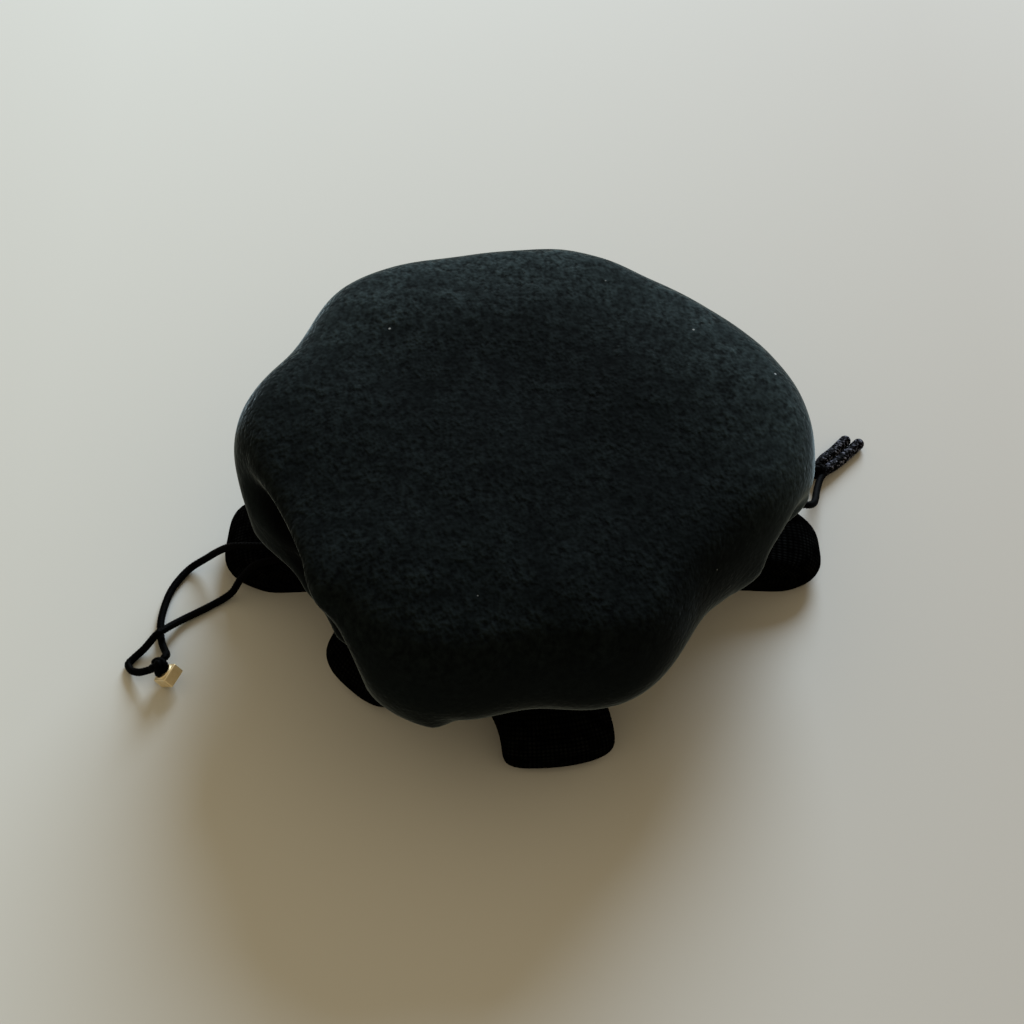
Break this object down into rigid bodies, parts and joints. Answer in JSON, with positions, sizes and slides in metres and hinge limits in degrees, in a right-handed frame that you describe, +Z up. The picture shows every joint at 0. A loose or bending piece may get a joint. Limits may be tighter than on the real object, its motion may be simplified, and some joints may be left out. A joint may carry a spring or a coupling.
{
  "type": "drawstring pouch",
  "caption": "Small black drawstring pouch of short-nap cloth lying mouth down, with a gathered neck, a ruffled woven collar, thin braided cords and a brass cord end.",
  "frame": {"origin": "centre of the body and collar seen from above, on the surface that the pouch lies on", "axes": "+Z up from that surface, through the neck and the round panel; -Y is the front that the picture shows and +X its right"},
  "size_m": [0.1621, 0.1181, 0.0478],
  "materials": {
    "nap_cloth": "short brushed nap, blue-black, matt",
    "woven_cloth": "fine plain weave, black, matt",
    "braided_cord": "round braid of black thread, slight sheen",
    "brass": "polished, pale gold"
  },
  "bodies": {
    "root": {"pouch_body": "nap_cloth", "collar": "woven_cloth", "left_neck_turn": "braided_cord", "left_strand_back": "braided_cord", "left_strand_front": "braided_cord", "left_knot": "braided_cord", "end_cap": "brass", "right_neck_turn": "braided_cord", "right_strand_front": "braided_cord", "right_strand_back": "braided_cord", "right_knot": "braided_cord", "right_tail_far": "braided_cord", "right_tail_near": "braided_cord"}
  },
  "joints": []
}
